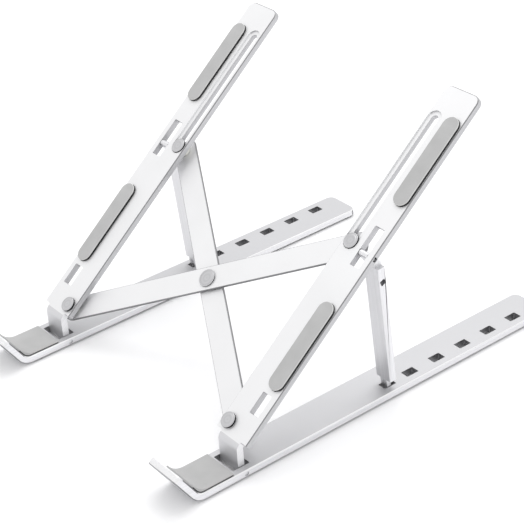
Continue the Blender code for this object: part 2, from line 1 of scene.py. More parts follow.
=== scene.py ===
"""Looks of a folding laptop stand: satin aluminium rails, arms, legs and brace with grey pads.

Laid out as a Blender add-on and run as a script.  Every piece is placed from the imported
frame, in metres, with the desk at z = 0 and the hooks towards -Y.
"""

import json
import math

import bmesh
import bpy
from mathutils import Matrix, Vector

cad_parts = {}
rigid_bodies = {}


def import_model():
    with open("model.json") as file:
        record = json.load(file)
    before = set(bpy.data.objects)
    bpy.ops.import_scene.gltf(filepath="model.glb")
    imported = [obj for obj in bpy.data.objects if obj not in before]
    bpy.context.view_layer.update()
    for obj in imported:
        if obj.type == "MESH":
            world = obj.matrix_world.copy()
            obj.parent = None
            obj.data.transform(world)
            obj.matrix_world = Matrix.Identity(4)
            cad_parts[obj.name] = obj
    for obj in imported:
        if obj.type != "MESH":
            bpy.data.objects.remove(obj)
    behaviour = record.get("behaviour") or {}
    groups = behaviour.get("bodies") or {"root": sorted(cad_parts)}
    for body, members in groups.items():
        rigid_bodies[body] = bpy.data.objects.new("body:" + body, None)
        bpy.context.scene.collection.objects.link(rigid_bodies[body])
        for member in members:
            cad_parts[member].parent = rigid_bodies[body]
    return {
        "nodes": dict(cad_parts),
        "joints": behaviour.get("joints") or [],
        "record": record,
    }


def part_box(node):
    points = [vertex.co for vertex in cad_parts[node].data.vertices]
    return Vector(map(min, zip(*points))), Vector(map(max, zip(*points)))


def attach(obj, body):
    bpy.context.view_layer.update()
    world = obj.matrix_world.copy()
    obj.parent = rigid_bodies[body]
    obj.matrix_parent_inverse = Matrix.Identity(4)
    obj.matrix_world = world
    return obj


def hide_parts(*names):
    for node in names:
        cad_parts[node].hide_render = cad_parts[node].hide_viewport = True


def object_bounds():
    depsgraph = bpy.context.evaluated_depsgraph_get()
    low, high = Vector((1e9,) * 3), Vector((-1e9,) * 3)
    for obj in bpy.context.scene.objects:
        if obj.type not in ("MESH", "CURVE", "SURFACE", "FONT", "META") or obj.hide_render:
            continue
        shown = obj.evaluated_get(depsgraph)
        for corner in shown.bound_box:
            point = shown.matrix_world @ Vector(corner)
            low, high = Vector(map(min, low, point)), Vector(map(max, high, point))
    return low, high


for leftover in list(bpy.data.objects):
    bpy.data.objects.remove(leftover, do_unlink=True)
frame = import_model()
CAD_BOX = [list(corner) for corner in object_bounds()]

bl_info = {
    "name": "Folding laptop stand",
    "version": (1, 0, 0),
    "blender": (4, 5, 0),
    "location": "3D View > Sidebar > Laptop stand",
    "description": "Builds the detailed pieces, finishes and studio of a folding laptop stand",
    "category": "Object",
}

MM = 0.001
SIDES = ("left", "right")
BODY_OF = {node: body for body, nodes in frame["record"]["behaviour"]["bodies"].items() for node in nodes}
JOINTS = {joint["name"]: joint for joint in frame["joints"]}
HINGE = Vector(JOINTS["tilt"]["pos_m"])
ARM_NORMAL = Vector(JOINTS["x_fold"]["axis"]).normalized()
ARM_TILT = math.atan2(-ARM_NORMAL.y, ARM_NORMAL.z)
LEG_LEAN = math.radians(5.0)                # how far the legs lean from upright
# How high the arms' upper faces lie over the hinge line, along the arms' normal.
ARM_TOP = max((v.co - HINGE).dot(ARM_NORMAL) for v in frame["nodes"]["left_arm"].data.vertices)
HOOK_END_Y = CAD_BOX[0][1] + 3 * MM         # a hook's end face lies in front of this
RAIL_END_Y = CAD_BOX[1][1] - MM             # and a rail's rear end behind this
RAIL_X = sum(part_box("right_base_rail")[end][0] for end in (0, 1)) / 2
RAIL_CORE = 9 * MM                          # a rail's holes lie this close to its middle line
KNUCKLE_Z = JOINTS["left_leg_swing"]["pos_m"][2] - 3 * MM   # a leg's knuckle is above this
PIN_CHAMFER = Vector((0.2, 0.15)) * MM      # on the ends of the hinge pins, across and along
PIN_FLARE = Vector((1.0, 1.5)) * MM         # the flare narrows between these depths
TAIL_CHAMFER = Vector((0.5, 0.4)) * MM      # on the formed tails of the rivets, across and along
HEAD_SOFT = 0.3                             # rounded share of the height of a rivet's head
HEAD_DISH = 0.05 * MM                       # how far the middle of a rivet's head is dished
HEAD_LIP = 0.1 * MM                         # chamfer under a rivet's head
AXIS_ZONE = 0.5 * MM                        # points nearer to a rivet's axis are its end caps
RIM_SHARE = 1.4                             # height of a pad's painted highlight rim over its rounding


# ---------------------------------------------------------------- settings
class LaptopStandFinish(bpy.types.PropertyGroup):
    """Colours and gloss of the finishes."""

    arm_colour: bpy.props.StringProperty(
        name="Arm faces", description="sRGB hex of the blasted faces of arms and bars", default="EFEFF0")
    # Painted shade: the arms' cut edges get a darker colour than their faces, for the shade they lie in.
    arm_edge_shade_colour: bpy.props.StringProperty(
        name="Arm edges", description="sRGB hex of the sheared edges of the arms, in painted shade", default="C6C6C8")
    # Painted shade: the faces of the arms' bent tongues get a darker colour than the arms' faces.
    tongue_shade_colour: bpy.props.StringProperty(
        name="Arm tongues", description="sRGB hex of the bent tongues of the arms", default="DCDCDE")
    # Painted light: hook ends, tongue sides, the track's walls and the rails' upper bevels get a lighter
    # colour, as painted highlights.
    painted_light_colour: bpy.props.StringProperty(
        name="Bright parts", description="sRGB hex of hook ends, tongue sides and rail bevels",
        default="F2F2F3")
    # Painted shade: the brace bars' cut edges get a dark colour, as the shade along and between the bars.
    bar_edge_shade_colour: bpy.props.StringProperty(
        name="Bar edges", description="sRGB hex of the sheared edges of the brace bars, in painted shade",
        default="7C7C7E")
    # Painted highlight: the upper rim of each arm pad's wall gets a lighter grey than its top.
    pad_rim_highlight_colour: bpy.props.StringProperty(
        name="Pad rims", description="sRGB hex of the rims of the silicone pads, in painted highlight", default="D2D2D1")
    # Painted shade: the rails' faces get a darker colour than their sides, for how the light falls on
    # them.
    rail_face_shade_colour: bpy.props.StringProperty(
        name="Rail faces", description="sRGB hex of the blasted faces of the rails", default="C8C8CA")
    # Painted shade: the walls of the rails' notches get a darker colour, for the shade inside them.
    notch_shade_colour: bpy.props.StringProperty(
        name="Punched walls", description="sRGB hex of the walls of the rails' notches, in painted shade",
        default="A4A4A6")
    # Painted light: the rails' milled sides get a lighter colour than their faces, as the lit copy of the
    # same aluminium.
    rail_side_lit_colour: bpy.props.StringProperty(
        name="Rail edges", description="sRGB hex of the milled sides of the rails, in painted light", default="EAEAEC")
    # Painted shade and light: the legs' fronts get a darker colour and their sides a lighter one, as lit
    # and shaded copies of one aluminium.
    leg_front_shade_colour: bpy.props.StringProperty(
        name="Leg fronts", description="sRGB hex of the drawn fronts of the legs", default="DADADC")
    leg_side_lit_colour: bpy.props.StringProperty(
        name="Leg sides", description="sRGB hex of the milled sides of the legs, in painted light", default="EAEAEC")
    # Painted shade: the thin chamfers, and the rounded edges of arms and bars, get a dark colour as shade
    # lines along the edges.
    chamfer_shade_colour: bpy.props.StringProperty(
        name="Chamfers", description="sRGB hex of the thin chamfers along the plates", default="8E8E90")
    rivet_colour: bpy.props.StringProperty(
        name="Rivet faces", description="sRGB hex of the nickel plated rivet faces", default="C8C8CA")
    # Painted shade: the walls of the rivets' heads are near black, for the shade under and round them.
    rivet_rim_shade_colour: bpy.props.StringProperty(
        name="Rivet rims", description="sRGB hex of the rims of the rivets, in painted shade", default="101011")
    silicone_colour: bpy.props.StringProperty(
        name="Pad tops", description="sRGB hex of the silicone pads", default="AFAFAF")
    # Painted shade: the foot of each pad's wall is near black, for the shadow gap round the pad.
    pad_foot_shade_colour: bpy.props.StringProperty(
        name="Pad walls", description="sRGB hex of the foot of the pads, in painted shade",
        default="161617")
    rubber_colour: bpy.props.StringProperty(
        name="Strips", description="sRGB hex of the rubber under the rails", default="3A3A3B")
    nylon_colour: bpy.props.StringProperty(
        name="Spacers", description="sRGB hex of the nylon spacers", default="E4E4DE")
    face_roughness: bpy.props.FloatProperty(
        name="Face roughness", description="How dull the blasted faces are",
        default=0.55, min=0.0, max=1.0, subtype="FACTOR")
    edge_roughness: bpy.props.FloatProperty(
        name="Edge roughness", description="How dull the cut, milled and drawn faces are",
        default=0.42, min=0.0, max=1.0, subtype="FACTOR")


class LaptopStandEdges(bpy.types.PropertyGroup):
    """Sizes of the small roundings and surface details."""

    plate_edge: bpy.props.FloatProperty(
        name="Plate edges", description="Rounding of the edges of the arms",
        default=0.16 * MM, min=0.0, unit="LENGTH")
    rail_edge: bpy.props.FloatProperty(
        name="Rail edges", description="Rounding of the edges of the rails",
        default=0.38 * MM, min=0.0, unit="LENGTH")
    bar_edge: bpy.props.FloatProperty(
        name="Bar edges", description="Rounding of the edges of the brace bars",
        default=0.1 * MM, min=0.0, unit="LENGTH")
    leg_edge: bpy.props.FloatProperty(
        name="Leg edges", description="Rounding of the edges of the legs",
        default=0.12 * MM, min=0.0, unit="LENGTH")
    pad_edge: bpy.props.FloatProperty(
        name="Pad edges", description="Rounding of the moulded pads' upper edges",
        default=0.35 * MM, min=0.0, unit="LENGTH")
    # Painted shade: the height of the dark band drawn round a hook pad's foot.
    pad_shade_band: bpy.props.FloatProperty(
        name="Shade band", description="Height of the band of painted shade round a hook pad's foot",
        default=0.4 * MM, min=0.0, unit="LENGTH")
    pin_flare: bpy.props.FloatProperty(
        name="Pin flare", description="How far the peened ends of the hinge pins spread in their bores",
        default=0.13 * MM, min=0.0, unit="LENGTH")
    groove: bpy.props.FloatProperty(
        name="Rivet groove", description="Width of the turned groove near a rivet head's rim",
        default=0.25 * MM, min=0.0, unit="LENGTH")


class LaptopStandStage(bpy.types.PropertyGroup):
    """Camera and light."""

    camera_offset: bpy.props.FloatVectorProperty(
        name="Camera place", description="Camera from the desk under the middle of the hinge line",
        default=(0.57318, -0.34073, 0.46993), unit="LENGTH")
    azimuth: bpy.props.FloatProperty(
        name="Azimuth", description="View direction, counted from +Y towards -X",
        default=math.radians(53.722), subtype="ANGLE")
    elevation: bpy.props.FloatProperty(
        name="Elevation", description="How far the camera looks down",
        default=math.radians(30.869), subtype="ANGLE")
    roll: bpy.props.FloatProperty(
        name="Roll", description="Turn of the camera about its own axis",
        default=math.radians(-4.084), subtype="ANGLE")
    lens: bpy.props.FloatProperty(
        name="Lens", description="Focal length on a 36 mm wide sensor, in millimetres", default=112.68)
    desk_colour: bpy.props.StringProperty(
        name="Desk colour", description="sRGB hex of the pale desk", default="F8F8F9")
    sky: bpy.props.FloatProperty(
        name="Room light", description="Strength of the even light from all round", default=1.0, min=0.0)
    key: bpy.props.FloatProperty(
        name="Key light", description="Power of the large soft light, in watts", default=9.8, min=0.0)


# ---------------------------------------------------------------- materials
def linear(code):
    """An sRGB hex colour as linear RGBA."""
    parts = [int(code[i:i + 2], 16) / 255 for i in (0, 2, 4)]
    return (*[c / 12.92 if c <= 0.04045 else ((c + 0.055) / 1.055) ** 2.4 for c in parts], 1.0)


def add(mat, kind, inputs=None, links=None, **settings):
    """Adds a node with its settings, input values and links from {input: (node, output)}."""
    node = mat.node_tree.nodes.new(kind)
    for key, value in settings.items():
        setattr(node, key, value)
    for key, value in (inputs or {}).items():
        node.inputs[key].default_value = value
    for key, (source, output) in (links or {}).items():
        mat.node_tree.links.new(source.outputs[output], node.inputs[key])
    return node


def new_material(name, **shader_values):
    """A material with a bare Principled shader and its output."""
    mat = bpy.data.materials.get(name) or bpy.data.materials.new(name)
    mat.use_nodes = True
    mat.node_tree.nodes.clear()
    shader = add(mat, "ShaderNodeBsdfPrincipled", shader_values)
    add(mat, "ShaderNodeOutputMaterial", links={"Surface": (shader, "BSDF")})
    return mat, shader


def feed(mat, shader, key, source, output):
    """Links a node's output to one of the shader's inputs."""
    mat.node_tree.links.new(source.outputs[output], shader.inputs[key])


def blasted_aluminium(name, code, roughness):
    """Bead-blasted, clear anodised aluminium: an even, soft, slightly grainy silver."""
    mat, shader = new_material(name, **{"Metallic": 1.0})
    place = add(mat, "ShaderNodeTexCoord")
    # The blasted grain is about 0.05 mm; it is drawn at 0.35 mm so that it shows.
    grain = add(mat, "ShaderNodeTexNoise", {"Scale": 1 / (0.35 * MM), "Detail": 3.0, "Roughness": 0.6},
                {"Vector": (place, "Object")})
    # Uneven anodising and handling: broad, very faint patches a few centimetres across.
    cloud = add(mat, "ShaderNodeTexNoise", {"Scale": 1 / (28 * MM), "Detail": 2.0},
                {"Vector": (place, "Object")})
    tone = add(mat, "ShaderNodeMapRange", {"To Min": 0.965, "To Max": 1.02}, {"Value": (cloud, "Fac")})
    base = add(mat, "ShaderNodeHueSaturation", {"Color": linear(code)}, {"Value": (tone, "Result")})
    feed(mat, shader, "Base Color", base, "Color")
    mix = add(mat, "ShaderNodeMath", links={0: (grain, "Fac"), 1: (cloud, "Fac")}, operation="ADD")
    dull = add(mat, "ShaderNodeMapRange",
               {"From Min": 0.6, "From Max": 1.4, "To Min": roughness - 0.05, "To Max": roughness + 0.07},
               {"Value": (mix, "Value")})
    feed(mat, shader, "Roughness", dull, "Result")
    bump = add(mat, "ShaderNodeBump", {"Strength": 0.35, "Distance": 0.006 * MM},
               {"Height": (grain, "Fac")})
    feed(mat, shader, "Normal", bump, "Normal")
    return mat


def lined_aluminium(name, code, roughness, along):
    """Drawn, milled or sheared aluminium, anodised: faint lines run the way of the tool."""
    mat, shader = new_material(name, **{"Metallic": 1.0})
    place = add(mat, "ShaderNodeTexCoord")
    # The lines are 0.1 mm apart; they are drawn at 0.45 mm, and 60 mm long.
    lines_at = add(mat, "ShaderNodeMapping",
                   {"Rotation": (along, 0, 0), "Scale": (0.45 * MM, 0.45 * MM, 60 * MM)},
                   {"Vector": (place, "Object")}, vector_type="TEXTURE")
    lines = add(mat, "ShaderNodeTexNoise", {"Scale": 1.0, "Detail": 2.0},
                {"Vector": (lines_at, "Vector")})
    tone = add(mat, "ShaderNodeMapRange",
               {"From Min": 0.3, "From Max": 0.7, "To Min": 0.9, "To Max": 1.04},
               {"Value": (lines, "Fac")})
    base = add(mat, "ShaderNodeHueSaturation", {"Color": linear(code)}, {"Value": (tone, "Result")})
    feed(mat, shader, "Base Color", base, "Color")
    dull = add(mat, "ShaderNodeMapRange", {"To Min": roughness - 0.06, "To Max": roughness + 0.08},
               {"Value": (lines, "Fac")})
    feed(mat, shader, "Roughness", dull, "Result")
    bump = add(mat, "ShaderNodeBump", {"Strength": 0.5, "Distance": 0.01 * MM},
               {"Height": (lines, "Fac")})
    feed(mat, shader, "Normal", bump, "Normal")
    return mat


def turned_nickel(name, code):
    """Nickel plated steel turned on a lathe: fine rings about the rivet's own axis."""
    mat, shader = new_material(name, **{"Metallic": 1.0})
    place = add(mat, "ShaderNodeTexCoord")
    # Tool marks are about 0.1 mm apart; they are drawn at 0.3 mm.
    rings = add(mat, "ShaderNodeTexWave", {"Scale": 1 / (0.3 * MM) / 20, "Distortion": 0.4},
                {"Vector": (place, "Object")}, wave_type="RINGS", rings_direction="Z")
    grain = add(mat, "ShaderNodeTexNoise", {"Scale": 1 / (0.8 * MM), "Detail": 2.0},
                {"Vector": (place, "Object")})
    tone = add(mat, "ShaderNodeMapRange", {"To Min": 0.94, "To Max": 1.03}, {"Value": (rings, "Fac")})
    base = add(mat, "ShaderNodeHueSaturation", {"Color": linear(code)}, {"Value": (tone, "Result")})
    feed(mat, shader, "Base Color", base, "Color")
    dull = add(mat, "ShaderNodeMapRange", {"To Min": 0.3, "To Max": 0.46}, {"Value": (grain, "Fac")})
    feed(mat, shader, "Roughness", dull, "Result")
    bump = add(mat, "ShaderNodeBump", {"Strength": 0.4, "Distance": 0.01 * MM},
               {"Height": (rings, "Fac")})
    feed(mat, shader, "Normal", bump, "Normal")
    return mat


def moulded_silicone(name, code):
    """Moulded silicone, rubber or nylon: matt, with a spark-eroded skin and a faint sheen."""
    mat, shader = new_material(name, **{"IOR": 1.43, "Sheen Weight": 0.12, "Sheen Roughness": 0.5})
    place = add(mat, "ShaderNodeTexCoord")
    # The mould's skin is about 0.1 mm; it is drawn at 0.3 mm.
    skin = add(mat, "ShaderNodeTexNoise", {"Scale": 1 / (0.3 * MM), "Detail": 4.0, "Roughness": 0.65},
               {"Vector": (place, "Object")})
    cloud = add(mat, "ShaderNodeTexNoise", {"Scale": 1 / (12 * MM), "Detail": 3.0},
                {"Vector": (place, "Object")})
    tone = add(mat, "ShaderNodeMapRange",
               {"From Min": 0.3, "From Max": 0.7, "To Min": 0.95, "To Max": 1.06},
               {"Value": (cloud, "Fac")})
    base = add(mat, "ShaderNodeHueSaturation", {"Color": linear(code)}, {"Value": (tone, "Result")})
    feed(mat, shader, "Base Color", base, "Color")
    dull = add(mat, "ShaderNodeMapRange", {"To Min": 0.62, "To Max": 0.8}, {"Value": (skin, "Fac")})
    feed(mat, shader, "Roughness", dull, "Result")
    bump = add(mat, "ShaderNodeBump", {"Strength": 0.6, "Distance": 0.02 * MM}, {"Height": (skin, "Fac")})
    feed(mat, shader, "Normal", bump, "Normal")
    return mat


def matt_desk(name, code):
    """A plain pale laminate desk."""
    mat, shader = new_material(name, **{"Base Color": linear(code), "Roughness": 0.6, "IOR": 1.45})
    shader.inputs["Specular IOR Level"].default_value = 0.25
    return mat


# ---------------------------------------------------------------- making pieces
def arm_place(side_x=0.0):
    """Matrix from arm coordinates (across, along, outward) to the frame, about the hinge line."""
    turn = Matrix.Rotation(ARM_TILT, 4, "X")
    return Matrix.Translation((side_x, HINGE.y, HINGE.z)) @ turn


def arm_box(node):
    """Lowest and highest corner of a CAD node in arm coordinates."""
    back = arm_place().inverted()
    points = [back @ v.co for v in frame["nodes"][node].data.vertices]
    low = Vector([min(p[i] for p in points) for i in range(3)])
    high = Vector([max(p[i] for p in points) for i in range(3)])
    return low, high


def finish_piece(obj, mats, body, slot, *nodes, rule=None):
    """Links a piece, gives it its finishes, parents it to the body it rides on and hides the nodes it
    stands for.

    The rule picks a finish for each face from its normal and its centre, both in the frame.
    """
    if obj.name not in bpy.context.scene.collection.objects:
        bpy.context.scene.collection.objects.link(obj)
    for mat in mats:
        obj.data.materials.append(mat)
    if rule:
        turn = obj.matrix_world.to_3x3()
        for face in obj.data.polygons:
            face.material_index = rule(turn @ face.normal, obj.matrix_world @ face.center)
    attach(obj, body)
    if nodes:
        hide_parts(*nodes)
    return obj


def rounded(obj, width, segments=3, angle=24.0, rim=-1):
    """Rounds every sharp edge and shades the piece smooth.

    The rim says which finish the rounding gets, and -1 leaves it that of the faces beside it.
    """
    bevel = obj.modifiers.new("rounding", "BEVEL")
    bevel.width = width
    bevel.segments = segments
    bevel.limit_method = "ANGLE"
    bevel.angle_limit = math.radians(angle)
    bevel.use_clamp_overlap = True
    bevel.miter_outer = "MITER_ARC"
    bevel.material = rim
    obj.data.shade_smooth()
    normals = obj.modifiers.new("normals", "WEIGHTED_NORMAL")
    normals.keep_sharp = True
    return obj


def refined(node, name):
    """A copy of a CAD node with its facets joined into clean faces, ready for finer edges."""
    mesh = frame["nodes"][node].data.copy()
    mesh.name = name
    mesh.materials.clear()
    bm = bmesh.new()
    bm.from_mesh(mesh)
    bmesh.ops.remove_doubles(bm, verts=bm.verts, dist=0.002 * MM)
    bmesh.ops.dissolve_limit(bm, angle_limit=math.radians(1.0), verts=bm.verts, edges=bm.edges)
    bm.to_mesh(mesh)
    bm.free()
    if "custom_normal" in mesh.attributes:
        mesh.attributes.remove(mesh.attributes["custom_normal"])
    return bpy.data.objects.new(name, mesh)


def turned(name, profile, segments=64):
    """A lathe part about its own Z from (radius, height) pairs, top of the axis first."""
    mesh = bpy.data.meshes.new(name)
    mesh.from_pydata([(r, 0, h) for r, h in profile], [(i, i + 1) for i in range(len(profile) - 1)], [])
    obj = bpy.data.objects.new(name, mesh)
    screw = obj.modifiers.new("lathe", "SCREW")
    screw.steps = segments
    screw.render_steps = segments
    screw.use_merge_vertices = True
    screw.merge_threshold = 0.01 * MM
    screw.use_smooth_shade = True
    return obj


def applied(obj):
    """The same piece with its modifiers applied, so that its smallest faces can be told apart."""
    bpy.context.scene.collection.objects.link(obj)
    solid = bpy.data.meshes.new_from_object(obj.evaluated_get(bpy.context.evaluated_depsgraph_get()))
    obj.modifiers.clear()
    obj.data = solid
    return obj


def arc(centre, radius, start, end, steps=10):
    """Points on a circle from one angle to another, in degrees."""
    angles = [math.radians(start + (end - start) * i / steps) for i in range(steps + 1)]
    return [(centre[0] + radius * math.cos(a), centre[1] + radius * math.sin(a)) for a in angles]


def slab(name, outline, heights):
    """A plate of the outline's shape, whose walls are split at each height."""
    bm = bmesh.new()
    verts = [bm.verts.new((x, y, heights[0])) for x, y in outline]
    bmesh.ops.remove_doubles(bm, verts=verts, dist=1e-6)
    faces = [bm.faces.new(bm.verts)]
    for low, high in zip(heights, heights[1:]):
        grown = bmesh.ops.extrude_face_region(bm, geom=faces, use_keep_orig=low == heights[0])
        lifted = [g for g in grown["geom"] if isinstance(g, bmesh.types.BMVert)]
        bmesh.ops.translate(bm, verts=lifted, vec=(0, 0, high - low))
        faces = [g for g in grown["geom"] if isinstance(g, bmesh.types.BMFace)]
    bmesh.ops.recalc_face_normals(bm, faces=bm.faces)
    mesh = bpy.data.meshes.new(name)
    bm.to_mesh(mesh)
    bm.free()
    return bpy.data.objects.new(name, mesh)


def shade_band_at_foot(obj, width):
    """Gives a band of painted shade, the second finish, to the foot of a bent pad's two side walls."""
    bm = bmesh.new()
    bm.from_mesh(obj.data)
    sides = [face for face in bm.faces if abs(face.normal.x) > SQUARE]
    border = bmesh.ops.inset_individual(bm, faces=sides, thickness=width, use_even_offset=True)["faces"]
    for face in border:
        lowest = min(other.normal.z for edge in face.edges for other in edge.link_faces)
        face.material_index = EDGE if lowest < -UPWARD else FACE
    bm.to_mesh(obj.data)
    bm.free()
    return obj


def stadium(half_width, length):
    """Outline of a slot along Y with round ends, about its own centre."""
    reach = length / 2 - half_width
    return arc((0, reach), half_width, 0, 180, 18) + arc((0, -reach), half_width, 180, 360, 18)


# ---------------------------------------------------------------- which finish a face has, painted light and shade among them
FACE, EDGE, CHAMFER, PAINTED_LIGHT, TONGUE = range(5)
# The rails' notch walls get painted shade, at the index where the arms have their tongue.
NOTCH_SHADE = TONGUE            # rails have punched walls where arms have their tongue
# Limits for the cosine between a face's normal and a direction.
SQUARE = 0.97
LEANING = 0.5
RISING = 0.45
UPWARD = 0.3
LEVEL = 0.25
TONGUE_REACH = 10 * MM      # the tongue's part of an arm, from the hinge line
TRACK_ZONE = (0.05 * MM, 0.9 * MM)      # depths between which the slide rivet's track has its walls


def plate_rule(normal, centre):
    """Faces of a plate that lies as the arms do are blasted; its cut walls and the bevels between get
    painted shade.
    """
    tilt = abs(normal.dot(ARM_NORMAL))
    if tilt > SQUARE:
        return FACE
    return EDGE if tilt < LEVEL else CHAMFER


def arm_rule(normal, centre):
    """As a plate, but the tongue that bends down to the hinge gets painted shade on its faces and painted
    light on its sides, and the track's walls get painted light.
    """
    along, height = (arm_place().inverted() @ centre).yz
    if along < TONGUE_REACH:
        return TONGUE if abs(normal.x) < LEANING else PAINTED_LIGHT
    if abs(normal.x) > SQUARE and TRACK_ZONE[0] < ARM_TOP - height < TRACK_ZONE[1]:
        return PAINTED_LIGHT
    return plate_rule(normal, centre)


def rail_rule(normal, centre):
    """A rail and its hook are one bent strip: its blasted faces, notch walls and lower bevels get painted
    shade, its sides painted light, its hook ends and upper bevels brighter painted light.
    """
    if centre.y < HOOK_END_Y and normal.z > UPWARD:
        return PAINTED_LIGHT
    in_core = abs(abs(centre.x) - RAIL_X) < RAIL_CORE and centre.y < RAIL_END_Y
    if in_core and abs(normal.z) < UPWARD:
        return NOTCH_SHADE
    if abs(normal.x) > SQUARE:
        return EDGE
    if abs(normal.x) < LEVEL:
        return FACE
    return PAINTED_LIGHT if normal.z > RISING else CHAMFER


def leg_rule(normal, centre):
    """Drawn front and back in painted shade; sides and knuckle in painted light."""
    return FACE if abs(normal.x) < LEANING and centre.z < KNUCKLE_Z else EDGE


def wall_rule(normal, centre):
    """The wall of a rivet's head gets painted shade, as against its top."""
    return EDGE if abs(normal.dot(ARM_NORMAL)) < LEANING else FACE


# ---------------------------------------------------------------- operators
class LAPTOPSTAND_OT_rails(bpy.types.Operator):
    """Build the two hooked base rails and the pins of their hinges"""

    bl_idname = "laptopstand.rails"
    bl_label = "Base rails"

    def execute(self, context):
        finish = context.scene.laptop_stand_finish
        edges = context.scene.laptop_stand_edges
        dull, soft = finish.face_roughness, finish.edge_roughness
        along = -math.pi / 2
        metals = [
            blasted_aluminium("blasted anodised aluminium, rail faces in painted shade", finish.rail_face_shade_colour, dull),
            lined_aluminium("milled anodised aluminium, rail sides in painted light", finish.rail_side_lit_colour, soft,
                            along),
            blasted_aluminium("milled anodised aluminium, rail chamfers in painted shade", finish.chamfer_shade_colour, soft),
            lined_aluminium("anodised aluminium, hook ends in painted light", finish.painted_light_colour, soft, along),
            blasted_aluminium("punched aluminium, notch walls in painted shade", finish.notch_shade_colour, soft),
        ]
        for side in SIDES:
            node = f"{side}_base_rail"
            rail = applied(rounded(refined(node, f"{side}_rail_fine"), edges.rail_edge))
            finish_piece(rail, metals, BODY_OF[node], "base_aluminium", node, rule=rail_rule)
            node = f"{side}_hinge_pin"
            low, high = (Vector(corner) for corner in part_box(node))
            half = (high.x - low.x) / 2
            radius = (high.z - low.z) / 2
            flare = radius + edges.pin_flare
            profile = [(0, half), (flare - PIN_CHAMFER.x, half), (flare, half - PIN_CHAMFER.y)]
            profile += [(flare, half - PIN_FLARE.x), (radius, half - PIN_FLARE.y)]
            profile += [(r, -h) for r, h in reversed(profile)]
            pin = turned(f"{side}_hinge_pin_fine", profile)
            pin.matrix_world = Matrix.Translation((low + high) / 2) @ Matrix.Rotation(math.pi / 2, 4, "Y")
            # The hinge pins take the rails' side colour, with its painted light.
            finish_piece(pin, [metals[EDGE]], BODY_OF[node], "nickel_steel", node)
        return {"FINISHED"}


class LAPTOPSTAND_OT_arms(bpy.types.Operator):
    """Build the two sloping arms with their windows and slots"""

    bl_idname = "laptopstand.arms"
    bl_label = "Arms"

    def execute(self, context):
        finish = context.scene.laptop_stand_finish
        edges = context.scene.laptop_stand_edges
        dull, soft = finish.face_roughness, finish.edge_roughness
        along = ARM_TILT - math.pi / 2
        metals = [
            blasted_aluminium("blasted anodised aluminium, arm faces", finish.arm_colour, dull),
            lined_aluminium("sheared anodised aluminium, arm edges in painted shade", finish.arm_edge_shade_colour, soft, along),
            blasted_aluminium("sheared anodised aluminium, arm chamfers in painted shade", finish.chamfer_shade_colour, soft),
            lined_aluminium("anodised aluminium, tongue sides in painted light", finish.painted_light_colour, soft,
                            along),
            blasted_aluminium("blasted anodised aluminium, arm tongues in painted shade", finish.tongue_shade_colour, dull),
        ]
        for side in SIDES:
            node = f"{side}_arm"
            # The arm's rounded edges take the dark chamfer colour, a painted shade line.
            arm = rounded(refined(node, f"{side}_arm_fine"), edges.plate_edge, rim=CHAMFER)
            finish_piece(arm, metals, BODY_OF[node], "arm_aluminium", node, rule=arm_rule)
        return {"FINISHED"}


class LAPTOPSTAND_OT_legs(bpy.types.Operator):
    """Build the two swinging legs and the pins they hang on"""

    bl_idname = "laptopstand.legs"
    bl_label = "Legs"

    def execute(self, context):
        finish = context.scene.laptop_stand_finish
        edges = context.scene.laptop_stand_edges
        soft = finish.edge_roughness
        metals = [
            lined_aluminium("drawn aluminium, leg fronts in painted shade", finish.leg_front_shade_colour, soft, LEG_LEAN),
            lined_aluminium("milled aluminium, leg sides in painted light", finish.leg_side_lit_colour, soft, LEG_LEAN),
        ]
        steel = turned_nickel("turned steel, pins", finish.rivet_colour)
        for side in SIDES:
            node = f"{side}_leg"
            leg = rounded(refined(node, f"{side}_leg_fine"), edges.leg_edge)
            finish_piece(leg, metals, BODY_OF[node], "leg_aluminium", node, rule=leg_rule)
            node = f"{side}_leg_pin"
            pin = rounded(refined(node, f"{side}_leg_pin_fine"), edges.leg_edge / 2)
            finish_piece(pin, [steel], BODY_OF[node], "nickel_steel", node)
        return {"FINISHED"}


class LAPTOPSTAND_OT_brace(bpy.types.Operator):
    """Build the two crossed brace bars and their nylon spacers"""

    bl_idname = "laptopstand.brace"
    bl_label = "X brace"

    def execute(self, context):
        finish = context.scene.laptop_stand_finish
        edges = context.scene.laptop_stand_edges
        dull, soft = finish.face_roughness, finish.edge_roughness
        metals = [
            blasted_aluminium("blasted anodised aluminium, bar faces", finish.arm_colour, dull),
            blasted_aluminium("sheared anodised aluminium, bar edges in painted shade", finish.bar_edge_shade_colour, soft),
            blasted_aluminium("sheared anodised aluminium, bar chamfers in painted shade", finish.chamfer_shade_colour, soft),
        ]
        nylon = moulded_silicone("moulded nylon, spacers", finish.nylon_colour)
        for node in ("upper_brace_bar", "lower_brace_bar"):
            # The bar's rounded edges take the dark chamfer colour, a painted shade line.
            bar = rounded(refined(node, f"{node}_fine"), edges.bar_edge, rim=CHAMFER)
            finish_piece(bar, metals, BODY_OF[node], "arm_aluminium", node, rule=plate_rule)
        for side in SIDES:
            for kind in ("lower", "slide"):
                node = f"{side}_{kind}_spacer"
                spacer = rounded(refined(node, f"{node}_fine"), edges.leg_edge)
                finish_piece(spacer, [nylon], BODY_OF[node], "nylon", node)
        return {"FINISHED"}


